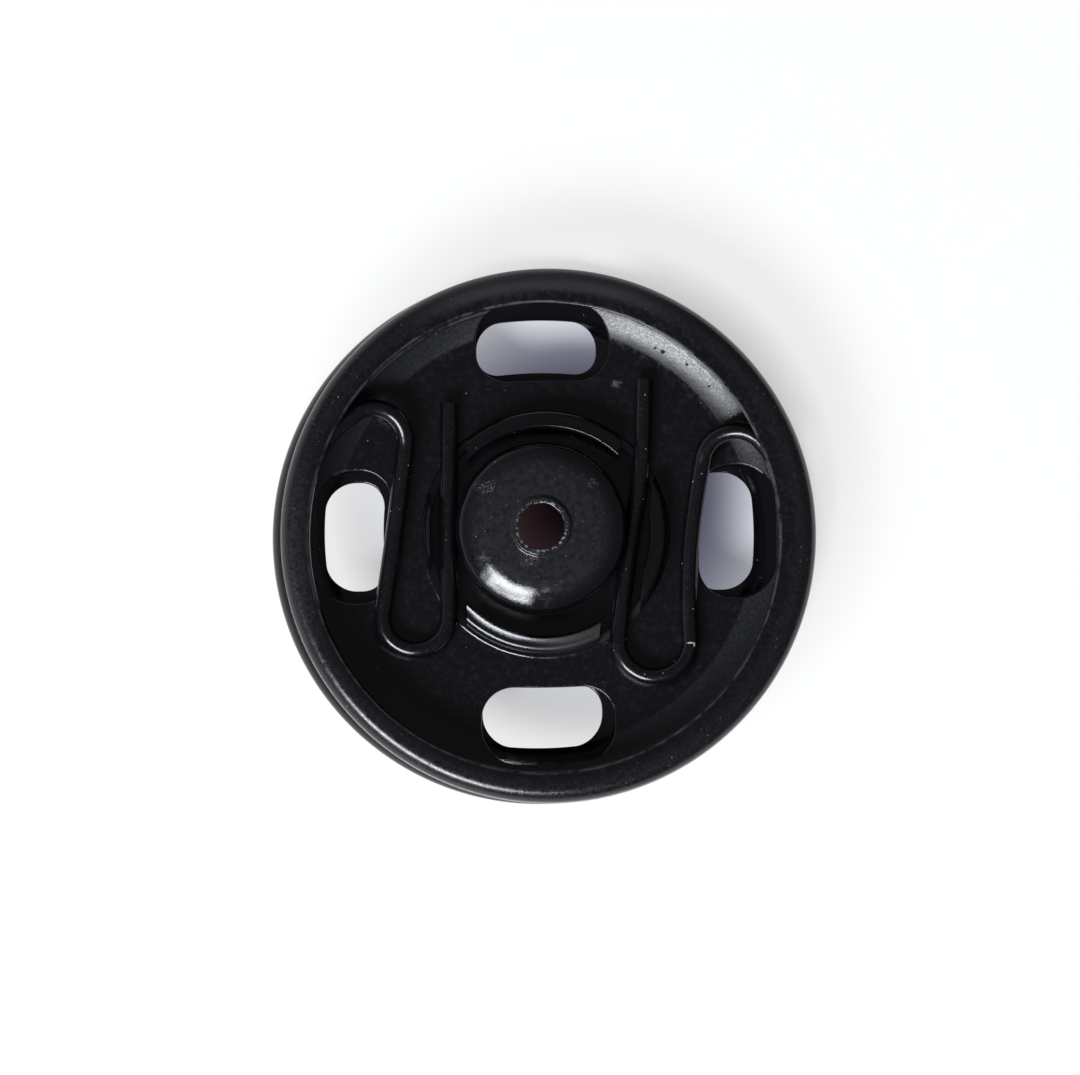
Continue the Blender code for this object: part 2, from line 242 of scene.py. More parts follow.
@dataclass(frozen=True)
class Seat:
    """Where the frame holds a plate: its rim's axis, its radius, and its lowest and highest point."""

    x: float
    y: float
    radius: float
    low: float
    high: float

    @classmethod
    def of(cls, node: str) -> "Seat":
        """Reads the seat of a plate from the frame."""
        low, high = (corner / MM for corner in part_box(node))
        return cls((low.x + high.x) / 2, (low.y + high.y) / 2, (high.x - low.x) / 2, low.z, high.z)


@dataclass(frozen=True)
class RolledRim:
    """Section of the dished edge and rolled rim, which both plates share.

    Attributes:
        dish_width: from the edge of the flat web to the rim's outside.
        dish_bend: radius between the web and the dish.
        dish_angle: slope of the dish in degrees.
        corner_bend: radius between the dish and the upright wall.
        roll_bend: radius of the roll.
        crest_flat: flat on top of the roll.
        lip_width: from the rim's outside to the edge of its lip.
        lip_drop: slope of the lip in degrees.
        spacing: distance between points in the bends.
    """

    dish_width: float = 4.25
    dish_bend: float = 5.0
    dish_angle: float = 30.0
    corner_bend: float = 0.7
    roll_bend: float = 0.6
    crest_flat: float = 0.35
    lip_width: float = 1.82
    lip_drop: float = 8.0
    spacing: float = 0.075

    def height(self, beyond: float) -> float:
        """Height of the dish over the web.

        Args:
            beyond: distance beyond the web's edge.

        Returns:
            The height of the middle of the sheet there.
        """
        slope = math.radians(self.dish_angle)
        bend = self.dish_bend * math.sin(slope)
        if beyond <= bend:
            return self.dish_bend - math.sqrt(self.dish_bend**2 - beyond**2)
        return self.dish_bend * (1 - math.cos(slope)) + (beyond - bend) * math.tan(slope)

    def corner_rise(self, sheet: float) -> float:
        """Height over the web at which the wall stands upright.

        Args:
            sheet: thickness of the sheet.

        Returns:
            The height of the end of the bend between the dish and the wall.
        """
        lean = math.radians(self.dish_angle)
        foot = self.dish_width - sheet / 2 - self.corner_bend * (1 - math.sin(lean))
        return self.height(foot) + self.corner_bend * math.cos(lean)

    def section(self, radius: float, rise: float, sheet: float) -> list[Point]:
        """Middle of the sheet from the edge of the web to the lip.

        Args:
            radius: outer radius of the rim.
            rise: height of the crest over the web.
            sheet: thickness of the sheet.

        Returns:
            Points as radius and height over the web.
        """
        web = radius - self.dish_width
        wall = radius - sheet / 2
        corner = self.corner_rise(sheet)
        flat = wall - self.roll_bend - self.crest_flat
        lip = radius - self.lip_width
        lip_z = rise - (flat - lip) * math.tan(math.radians(self.lip_drop))
        tilt = self.dish_angle - 90
        points = arc((web, self.dish_bend), self.dish_bend, -90, tilt, self.spacing)
        points += arc((wall - self.corner_bend, corner), self.corner_bend, tilt, 0, self.spacing)
        points += arc((wall - self.roll_bend, rise - self.roll_bend), self.roll_bend, 0, 90, self.spacing)
        return points + [(flat, rise), (lip, lip_z)]


@dataclass(frozen=True)
class SlotPunch:
    """The punch for one plate's four sewing slots.

    Attributes:
        length: along the rim.
        width: across the rim.
        end_flat: straight part of each end.
        bow: how far both ends bend back towards the ball.
        inset: from the rim to the slots' outer edge.
        turn: how far the four are turned on the plate, in degrees.
        die_roll: radius where the punch drew the upper edge down.
        trims: for the slots at +X, +Y, -X and -Y, how much narrower and shorter each came out.
        reach: how far the punch goes past the web on both sides, in thicknesses of the sheet.
    """

    length: float
    width: float
    end_flat: float
    bow: float
    inset: float
    turn: float = 1.0
    die_roll: float = 0.09
    trims: tuple[Point, ...] = ((0.0, 0.0),) * 4
    reach: float = 3.0

    def outline(self, grow: float) -> list[Point]:
        """The slot round the origin, long along Y.

        Args:
            grow: how much wider it is all round than the punched size.

        Returns:
            The points of the closed outline, in order.
        """
        half_l = self.length / 2 + grow
        half_w = self.width / 2 + grow
        bend = (self.width - self.end_flat) / 2 + grow
        points = []
        for turn, (sx, sy) in enumerate(((1, 1), (-1, 1), (-1, -1), (1, -1))):
            centre = (sx * (half_w - bend), sy * (half_l - bend))
            points += arc(centre, bend, 90 * turn, 90 * turn + 90, bend / 10)
            if turn % 2:
                points += [(sx * half_w, sy * (half_l - bend) * (1 - i / 8)) for i in range(1, 16)]
        return [(x - self.bow * (y / half_l) ** 2, y) for x, y in points]

    def levels(self, sheet: float) -> list[Point]:
        """How the slot widens towards the face that the punch came through.

        Args:
            sheet: thickness of the sheet.

        Returns:
            Heights over the web's middle and how much wider the slot is all round there.
        """
        top, roll = sheet / 2, self.die_roll
        past = sheet * self.reach
        levels = [(-past, 0.0)]
        for turn in np.radians((0, 15, 30, 45, 60, 75)):
            levels.append((top - roll * (1 - math.sin(turn)), roll * (1 - math.cos(turn))))
        return levels + [(top + 0.02 * roll, roll), (past, roll)]

    def punch_into(self, builder: bmesh.types.BMesh, radius: float, sheet: float, off: Point) -> None:
        """Adds the four closed cutters to a builder.

        Args:
            builder: takes the cutters, in metres, round the rim's axis and the web's middle.
            radius: outer radius of the rim.
            sheet: thickness of the sheet.
            off: how far the four sit off the rim's axis.
        """
        for quarter, (narrower, shorter) in enumerate(self.trims):
            punch = replace(self, width=self.width - narrower, length=self.length - shorter)
            out = radius - self.inset - punch.width / 2
            spin = Matrix.Rotation(math.radians(90 * quarter + self.turn), 3, "Z")
            rings = []
            for z, grow in self.levels(sheet):
                places = [spin @ Vector((x + out, y, z)) + Vector((*off, 0)) for x, y in punch.outline(grow)]
                rings.append([builder.verts.new(place * MM) for place in places])
            for lower, upper in zip(rings, rings[1:]):
                for i in range(len(lower)):
                    j = (i + 1) % len(lower)
                    builder.faces.new((lower[i], lower[j], upper[j], upper[i]))
            builder.faces.new(list(reversed(rings[0])))
            builder.faces.new(rings[-1])


@dataclass
class Stamping:
    """One plate of the fastener, drawn and punched from a single sheet.

    Attributes:
        node: the frame's node that the plate stands for, and the plate's name.
        half: the body that it rides on.
        slot: the record's material slot, which is not used.
        middle: how far the drawn middle sits off the rim's axis.
        slots_off: how far the slots sit off the rim's axis.
        punch: the punch for its sewing slots.
        rim: section of the rim.
        sheet: thickness of the sheet.
        steps: steps round the axis.
        edge: radius that softens the sheet's cut edges.
        lip_waver: how far the lip's edge wanders in and out.
        lip_off: how far the lip's edge sits off the rim's axis.
        lip_blend: width of the lip over which that and the waver fade out.
        spacing: widest gap between points of the section.
        sharp: angle in degrees over which an edge stays sharp.
    """

    node: str
    half: Half
    slot: str
    middle: Point
    slots_off: Point
    punch: SlotPunch
    rim: RolledRim = field(default_factory=RolledRim)
    sheet: float = 0.35
    steps: int = 240
    edge: float = 0.07
    lip_waver: float = 0.03
    lip_off: Point = (0.0, 0.0)
    lip_blend: float = 0.6
    spacing: float = 0.25
    sharp: float = 35.0

    def __post_init__(self) -> None:
        """Reads the plate's place from the frame."""
        self.seat = Seat.of(self.node)

    @property
    def web_z(self) -> float:
        """Height of the middle of the plate's flat web over the floor."""
        raise NotImplementedError

    @property
    def rise(self) -> float:
        """Height of the rim's crest over the web, between the middles of the sheet."""
        raise NotImplementedError

    def section(self) -> list[Point]:
        """Middle of the sheet from its inner edge to the lip."""
        raise NotImplementedError

    def extra_cutters(self, builder: bmesh.types.BMesh) -> None:
        """Adds what else is cut out of this plate."""

    def settle(self, mesh: bpy.types.Mesh) -> None:
        """Moves the drawn middle off the rim's axis and lets the lip's edge waver a little.

        Args:
            mesh: the revolved sheet, which is changed.
        """
        lip = self.seat.radius - self.rim.lip_width
        web = self.seat.radius - self.rim.dish_width
        places = np.zeros(len(mesh.vertices) * 3)
        mesh.vertices.foreach_get("co", places)
        places = places.reshape(-1, 3) / MM
        radius = np.hypot(places[:, 0], places[:, 1])
        angle = np.arctan2(places[:, 1], places[:, 0])
        share = eased(np.clip((lip - radius) / (lip - web), 0, 1))
        crest = abs(places[:, 2]) > self.rise - self.rim.roll_bend
        near_lip = np.clip((lip + self.lip_blend - radius) / self.lip_blend, 0, 1) * crest
        waver = sum(np.sin(n * angle + n * n) / k for k, n in enumerate(WANDER_WAVES, start=2))
        wander = waver * self.lip_waver
        places[:, 0] += self.middle[0] * share + near_lip * (self.lip_off[0] + wander * np.cos(angle))
        places[:, 1] += self.middle[1] * share + near_lip * (self.lip_off[1] + wander * np.sin(angle))
        mesh.vertices.foreach_set("co", (places * MM).ravel())
        mesh.update()

    def cutter(self) -> bpy.types.Object:
        """Makes the closed form of all that is cut out of the sheet.

        Returns:
            A helper object, which is deleted after the cut.
        """
        builder = bmesh.new()
        self.punch.punch_into(builder, self.seat.radius, self.sheet, self.slots_off)
        self.extra_cutters(builder)
        bmesh.ops.remove_doubles(builder, verts=builder.verts, dist=1e-8)
        bmesh.ops.recalc_face_normals(builder, faces=builder.faces)
        punches = bpy.data.meshes.new(self.node + "_punches")
        builder.to_mesh(punches)
        builder.free()
        return link(bpy.data.objects.new(self.node + "_punches", punches))

    def build(self) -> bpy.types.Object:
        """Draws the sheet, punches it and puts it in its place.

        Returns:
            The finished plate, which rides on its half and stands for its node.
        """
        outline = sheet_outline(filled_line(self.section(), self.spacing), self.sheet, self.edge)
        mesh = revolved(self.node + "_sheet", outline, self.steps)
        self.settle(mesh)
        raw = link(bpy.data.objects.new(self.node + "_raw", mesh))
        cutter = self.cutter()
        cut = raw.modifiers.new("Punch", "BOOLEAN")
        cut.operation = "DIFFERENCE"
        cut.solver = "EXACT"
        cut.object = cutter
        punched = evaluated(raw, self.node + "_punched")
        for helper in (raw, cutter):
            bpy.data.objects.remove(helper, do_unlink=True)
        punched.transform(Matrix.Translation(Vector((self.seat.x, self.seat.y, self.web_z)) * MM))
        punched.shade_smooth()
        punched.set_sharp_from_angle(angle=math.radians(self.sharp))
        plate = link(bpy.data.objects.new(self.node + "_enamelled", punched))
        weights = plate.modifiers.new("Flat faces lead", "WEIGHTED_NORMAL")
        weights.keep_sharp = True
        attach(plate, self.half.value)
        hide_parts(self.node)
        log.info("%s: %d faces", plate.name, len(punched.polygons))
        return plate


@dataclass
class BallPlate(Stamping):
    """The lower half: its rim rolls down to the floor, and the hollow ball stands up from its web.

    Attributes:
        head_r: radius of the ball's head.
        undercut: how much slimmer the neck is.
        neck_wall: straight part of the neck.
        neck_fillet: radius at the foot of the neck.
        bulge_bend: radius of the head's edge.
        crown_r: radius of the nearly flat crown.
        crown_tilt: slope at the crown's edge, in degrees.
        shoulder_bend: radius of the shoulder between the crown and the edge.
        shoulder_tilt: slope of the shoulder where it meets the edge, in degrees.
        hole_r: radius of the pierced hole.
        burr_bend: radius of the burr turned up round the hole.
        burr_wall: upright part of the burr.
        head_rise: height of the head's widest line over the web.
        rim_wall: upright part of the rim.
    """

    head_r: float = 4.8
    undercut: float = 0.55
    neck_wall: float = 0.82
    neck_fillet: float = 0.7
    bulge_bend: float = 0.475
    crown_r: float = 2.76
    crown_tilt: float = 3.0
    shoulder_bend: float = 2.85
    shoulder_tilt: float = 27.0
    hole_r: float = 1.3
    burr_bend: float = 0.3
    burr_wall: float = 0.1
    head_rise: float = 2.6
    rim_wall: float = 0.05

    @property
    def web_z(self) -> float:
        """Height of the middle of the plate's flat web over the floor."""
        return self.rise + self.sheet / 2

    @property
    def rise(self) -> float:
        """Height of the rim's crest over the web, between the middles of the sheet."""
        return self.rim.corner_rise(self.sheet) + self.rim_wall + self.rim.roll_bend

    @property
    def axis(self) -> Point:
        """Where the ball's axis stands."""
        return self.seat.x + self.middle[0], self.seat.y + self.middle[1]

    def section(self) -> list[Point]:
        """Middle of the sheet, from the pierced hole over the head and down the neck to the rim.

        Returns:
            Points as radius and height over the web.
        """
        step = self.rim.spacing
        neck = self.head_r - self.undercut - self.sheet / 2
        bulge = self.head_r - self.sheet / 2 - self.bulge_bend
        waist_z = self.neck_fillet + self.neck_wall
        fall = self.head_rise - waist_z
        lean = 2 * math.atan(self.undercut / fall)
        waist_bend = fall / math.sin(lean) - self.bulge_bend
        flare = math.degrees(lean)
        low, high = math.radians(self.shoulder_tilt), math.radians(self.crown_tilt)
        edge = (bulge + self.bulge_bend * math.sin(low), self.head_rise + self.bulge_bend * math.cos(low))
        end_r = self.crown_r + self.shoulder_bend * (math.sin(low) - math.sin(high))
        end_z = edge[1] + (edge[0] - end_r) * math.tan(low)
        middle = (end_r - self.shoulder_bend * math.sin(low), end_z - self.shoulder_bend * math.cos(low))
        crown_bend = self.crown_r / math.sin(high)
        crown_z = middle[1] + (self.shoulder_bend - crown_bend) * math.cos(high)
        burr = self.hole_r + self.sheet / 2 + self.burr_bend
        burr_z = crown_z + math.sqrt(crown_bend**2 - burr**2) + self.burr_bend
        start = math.degrees(math.acos(burr / crown_bend))
        points = [(burr - self.burr_bend, burr_z + self.burr_wall)]
        points += arc((burr, burr_z), self.burr_bend, 180, 270, step)
        points += arc((0, crown_z), crown_bend, start, 90 - self.crown_tilt, step)[1:]
        points += arc(middle, self.shoulder_bend, 90 - self.crown_tilt, 90 - self.shoulder_tilt, step)[1:]
        points += arc((bulge, self.head_rise), self.bulge_bend, 90 - self.shoulder_tilt, -flare, step)
        points += arc((neck + waist_bend, waist_z), waist_bend, 180 - flare, 180, step)[1:]
        points += arc((neck + self.neck_fillet, self.neck_fillet), self.neck_fillet, 180, 270, step)
        rim = self.rim.section(self.seat.radius, self.rise, self.sheet)
        return points + [(r, -z) for r, z in rim]


@dataclass
class SocketPlate(Stamping):
    """The upper half: its rim rolls up over the spring, and a collar stands round the bore for the ball.

    Attributes:
        bore_r: radius of the bore, to the middle of the sheet.
        flare_bend: radius at which the bore's edge turns up from the collar's flat top.
        flare_angle: how far it turns up, in degrees.
        collar_bend: radius between the collar's flat top and its wall.
        collar_rise: height of the flat top over the web.
        collar_fillet: radius at the collar's foot.
        slits: for each leg of the spring, two points along it where it passes the collar.
        slit_width: width of the opening for a leg.
        slit_floor: height of the opening's floor over the web's surface.
    """

    bore_r: float = 5.885
    flare_bend: float = 1.1
    flare_angle: float = 30.0
    collar_bend: float = 0.2
    collar_rise: float = 1.75
    collar_fillet: float = 0.45
    slits: list[tuple[Point, Point]] = field(default_factory=list)
    slit_width: float = 2.1
    slit_floor: float = 0.08

    @property
    def web_z(self) -> float:
        """Height of the middle of the plate's flat web over the floor."""
        return self.seat.low + self.sheet / 2

    @property
    def rise(self) -> float:
        """Height of the rim's crest over the web, between the middles of the sheet."""
        return self.seat.high - self.seat.low - self.sheet

    @property
    def flare_end(self) -> float:
        """Radius at which the collar's top is flat."""
        return self.bore_r + self.flare_bend * math.sin(math.radians(self.flare_angle))

    @property
    def collar_foot(self) -> float:
        """Radius at which the collar meets the web."""
        return self.flare_end + self.collar_bend + self.collar_fillet

    def section(self) -> list[Point]:
        """Middle of the sheet, from the flared edge of the bore over the collar to the rim.

        Returns:
            Points as radius and height over the web.
        """
        step = self.rim.spacing
        top = self.collar_rise
        points = arc((self.flare_end, top + self.flare_bend), self.flare_bend, 270 - self.flare_angle, 270, step)
        points += arc((self.flare_end, top - self.collar_bend), self.collar_bend, 90, 0, step)[1:]
        points += arc((self.collar_foot, self.collar_fillet), self.collar_fillet, 180, 270, step)
        return points + self.rim.section(self.seat.radius, self.rise, self.sheet)

    def extra_cutters(self, builder: bmesh.types.BMesh) -> None:
        """Adds a box along each leg of the spring, which opens the collar for it.

        Args:
            builder: takes the boxes, in metres, round the rim's axis and the web's middle.
        """
        floor = self.sheet / 2 + self.slit_floor
        height = self.collar_rise + self.sheet
        for top, foot in self.slits:
            middle = Vector(((top[0] + foot[0]) / 2 - self.seat.x, (top[1] + foot[1]) / 2 - self.seat.y, 0))
            middle.z = floor + height / 2
            turn = math.atan2(top[1] - foot[1], top[0] - foot[0]) - math.pi / 2
            size = Matrix.Diagonal((self.slit_width, math.dist(top, foot), height, 1))
            place = Matrix.Translation(middle) @ Matrix.Rotation(turn, 4, "Z") @ size
            bmesh.ops.create_cube(builder, size=1.0, matrix=Matrix.Scale(MM, 4) @ place)


@dataclass(frozen=True)
class SpringSide:
    """One side of the spring, from its free end to the rim.

    Attributes:
        way: which side it is.
        leg_gap: air between the leg and the neck of the ball.
        leg_lean: how far the free end leans out from where the leg passes the neck.
        knee_out: how far the leg bends out between the neck and the free end.
        leg_end_in: how far the free end lies inside the edge of the lip, seen from above.
        foot_in: how far the leg's foot leans in from where it passes the neck.
        loop_gap: air between the loop and the edge of the lip, seen from above.
        loop_side_in: the loop's outer side, inward from the run under the lip.
        hook_angle: where the hook lies, above the X axis, in degrees.
        hook_side_in: the hook's outer side, inward from the run under the lip.
        hook_off: the hook's inner side, outward from where the leg passes the neck.
        hook_turn: angle of the hook's last point, above the X axis, in degrees.
        strand_in: how far the long strand bows in from a straight line.
    """

    way: Way
    leg_gap: float
    leg_lean: float
    knee_out: float
    leg_end_in: float
    foot_in: float
    loop_gap: float
    loop_side_in: float
    hook_angle: float
    hook_side_in: float
    hook_off: float
    hook_turn: float
    strand_in: float


@dataclass
class Spring:
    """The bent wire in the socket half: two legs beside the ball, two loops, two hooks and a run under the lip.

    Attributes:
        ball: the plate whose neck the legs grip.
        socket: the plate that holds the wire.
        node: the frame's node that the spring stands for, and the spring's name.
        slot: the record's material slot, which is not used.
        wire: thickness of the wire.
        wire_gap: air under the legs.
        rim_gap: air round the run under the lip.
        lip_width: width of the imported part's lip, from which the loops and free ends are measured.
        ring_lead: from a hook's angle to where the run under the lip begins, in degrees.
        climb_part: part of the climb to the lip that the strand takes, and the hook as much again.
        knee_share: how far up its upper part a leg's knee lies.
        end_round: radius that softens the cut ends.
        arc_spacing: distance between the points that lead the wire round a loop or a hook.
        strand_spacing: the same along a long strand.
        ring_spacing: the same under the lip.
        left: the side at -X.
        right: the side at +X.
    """

    ball: BallPlate
    socket: SocketPlate
    node: str = "snap_spring"
    slot: str = "spring_enamel"
    wire: float = 1.0
    wire_gap: float = 0.2
    rim_gap: float = 0.3
    lip_width: float = 1.74
    ring_lead: float = 9.0
    climb_part: float = 4 / 9
    knee_share: float = 0.31
    end_round: float = 0.16
    arc_spacing: float = 0.5
    strand_spacing: float = 0.6
    ring_spacing: float = 1.2
    left: SpringSide = SpringSide(
        way=Way.LEFT,
        leg_gap=0.475,
        leg_lean=-0.025,
        knee_out=0.0,
        leg_end_in=3.86,
        foot_in=0.0,
        loop_gap=2.2,
        loop_side_in=4.535,
        hook_angle=28.8,
        hook_side_in=0.81,
        hook_off=2.4,
        hook_turn=60.0,
        strand_in=0.05,
    )
    right: SpringSide = SpringSide(
        way=Way.RIGHT,
        leg_gap=0.335,
        leg_lean=0.685,
        knee_out=0.23,
        leg_end_in=2.85,
        foot_in=0.77,
        loop_gap=2.42,
        loop_side_in=5.865,
        hook_angle=20.9,
        hook_side_in=0.68,
        hook_off=3.91,
        hook_turn=45.0,
        strand_in=0.36,
    )

    @property
    def ring_r(self) -> float:
        """Radius of the run under the lip."""
        return self.socket.seat.radius - self.socket.sheet - self.rim_gap - self.wire / 2

    @property
    def leg_z(self) -> float:
        """Height of the legs and loops."""
        return self.socket.web_z + self.socket.sheet / 2 + self.wire_gap + self.wire / 2

    @property
    def ring_z(self) -> float:
        """Height of the run under the lip.

        Returns:
            The height at which the wire just clears the slope of the dish.
        """
        rim = self.socket.rim
        clear = (self.socket.sheet / 2 + self.rim_gap + self.wire / 2) / math.cos(math.radians(rim.dish_angle))
        beyond = self.ring_r - self.socket.seat.radius + rim.dish_width
        return self.socket.web_z + rim.height(beyond) + clear

    def in_lip(self, x: float, inset: float, up: int) -> Point:
        """A point inside the edge of the lip.

        Args:
            x: where it lies along X.
            inset: how far it lies inside the edge.
            up: 1 for the rear side of the plate, -1 for the front one.

        Returns:
            The point.
        """
        seat = self.socket.seat
        reach = seat.radius - self.lip_width - inset
        return x, seat.y + up * math.sqrt(reach**2 - (x - seat.x) ** 2)

    def leg(self, side: SpringSide) -> tuple[Point, Point, Point, float]:
        """Places of one leg.

        Args:
            side: the side of the spring.

        Returns:
            The free end, where the leg passes the neck, where its loop begins, and the loop's radius.
        """
        way = side.way.value
        axis = self.ball.axis
        neck_r = self.ball.head_r - self.ball.undercut
        neck_x = axis[0] + way * (neck_r + side.leg_gap + self.wire / 2)
        foot_x = neck_x - way * side.foot_in
        outer_x = self.socket.seat.x + way * (self.ring_r - side.loop_side_in)
        bend = way * (outer_x - foot_x) / 2
        loop_y = self.in_lip(foot_x + way * bend, side.loop_gap + self.wire / 2 + bend, -1)[1]
        top = self.in_lip(neck_x + way * side.leg_lean, side.leg_end_in, 1)
        return top, (neck_x, axis[1]), (foot_x, loop_y), bend

    def climbed(self, share: float) -> float:
        """Height of the wire where this share of the climb from the legs to the lip is done."""
        return self.leg_z + (self.ring_z - self.leg_z) * eased(share)

    def side_path(self, side: SpringSide) -> Path3:
        """Centre line of one side of the spring.

        Args:
            side: the side of the spring.

        Returns:
            Points from its free end to the end of its hook.
        """
        way = side.way.value
        seat = self.socket.seat
        top, neck, foot, bend = self.leg(side)
        loop = (way * foot[0] + bend, foot[1])
        lift = math.radians(side.hook_angle)
        run = (self.ring_r - side.hook_side_in) * math.cos(lift) + way * seat.x
        hook_bend = (run - way * neck[0] - side.hook_off) / (1 + math.cos(lift))
        reach = self.ring_r - side.hook_side_in - hook_bend
        hook = (way * seat.x + reach * math.cos(lift), seat.y + reach * math.sin(lift))
        heading = math.atan2(hook[1] - loop[1], hook[0] - loop[0])
        heading += math.asin((bend + hook_bend) / math.dist(loop, hook))
        lean = math.degrees(heading) - 90
        low = arc(loop, bend, 180, 360 + lean, self.arc_spacing)
        high = arc(hook, hook_bend, 180 + lean, side.hook_turn, self.arc_spacing)
        strand = filled_line([low[-1], high[0]], self.strand_spacing)[1:-1]
        knee = [a + (b - a) * self.knee_share for a, b in zip(neck, top)]
        path = [(*top, self.leg_z), (knee[0] + way * side.knee_out, knee[1], self.leg_z), (*neck, self.leg_z)]
        path += [(way * x, y, self.leg_z) for x, y in low]
        for i, (x, y) in enumerate(strand, start=1):
            part = i / (len(strand) + 1)
            bowed = x - side.strand_in * math.sin(math.pi * part)
            path.append((way * bowed, y, self.climbed(self.climb_part * part)))
        for i, (x, y) in enumerate(high):
            path.append((way * x, y, self.climbed(self.climb_part * (1 + i / (len(high) - 1)))))
        return path

    def path(self) -> Path3:
        """Centre line of the whole spring.

        Returns:
            Points from the left leg's free end, round under the lip, to the right leg's.
        """
        seat = self.socket.seat
        start = 180 - self.left.hook_angle + self.ring_lead
        end = 360 + self.right.hook_angle - self.ring_lead
        ring = [(x, y, self.ring_z) for x, y in arc((seat.x, seat.y), self.ring_r, start, end, self.ring_spacing)]
        return self.side_path(self.left) + ring + list(reversed(self.side_path(self.right)))

    def slits(self) -> list[tuple[Point, Point]]:
        """Where the legs pass the collar.

        Returns:
            For each leg, two points along it just outside the collar.
        """
        pairs = []
        for side in (self.left, self.right):
            top, neck, foot, _ = self.leg(side)
            middle = (neck[0] + side.way.value * side.knee_out / 2, neck[1])
            ends = []
            for end in (top, foot):
                share = self.socket.collar_foot / math.dist(middle, end)
                ends.append(tuple(a + (b - a) * share for a, b in zip(middle, end)))
            pairs.append((ends[0], ends[1]))
        return pairs

    def build(self) -> bpy.types.Object:
        """Bends the wire along its centre line.

        Returns:
            The finished spring, which rides on the socket half.
        """
        curve = bpy.data.curves.new(self.node + "_line", "CURVE")
        curve.dimensions = "3D"
        curve.twist_mode = "Z_UP"
        curve.resolution_u = 4
        curve.bevel_depth = self.wire / 2 * MM
        curve.bevel_resolution = 8
        curve.use_fill_caps = True
        spline = curve.splines.new("BEZIER")
        path = self.path()
        spline.bezier_points.add(len(path) - 1)
        for point, place in zip(spline.bezier_points, path):
            point.co = [value * MM for value in place]
            point.handle_left_type = point.handle_right_type = "AUTO"
        line = link(bpy.data.objects.new(self.node + "_line", curve))
        mesh = evaluated(line, self.node + "_wire")
        bpy.data.objects.remove(line, do_unlink=True)
        mesh.shade_smooth()
        mesh.set_sharp_from_angle(angle=math.radians(50))
        spring = link(bpy.data.objects.new(self.node + "_enamelled", mesh))
        ends = spring.modifiers.new("Softened ends", "BEVEL")
        ends.width = self.end_round * MM
        ends.segments = 3
        ends.limit_method = "ANGLE"
        ends.angle_limit = math.radians(60)
        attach(spring, Half.SOCKET.value)
        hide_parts(self.node)
        log.info("%s: %d faces", spring.name, len(mesh.polygons))
        return spring


class Spot(NamedTuple):
    """A soft oval on a plate, seen from above: its middle and its half sizes."""

    x: float
    y: float
    half_x: float
    half_y: float


class Band(NamedTuple):
    """A soft ring round an upright axis."""

    x: float
    y: float
    radius: float
    width: float


class Mark(NamedTuple):
    """What lies on a coat or has rubbed it: where it is, its colour and how rough it is there."""

    mask: Socket
    colour: str
    roughness: float


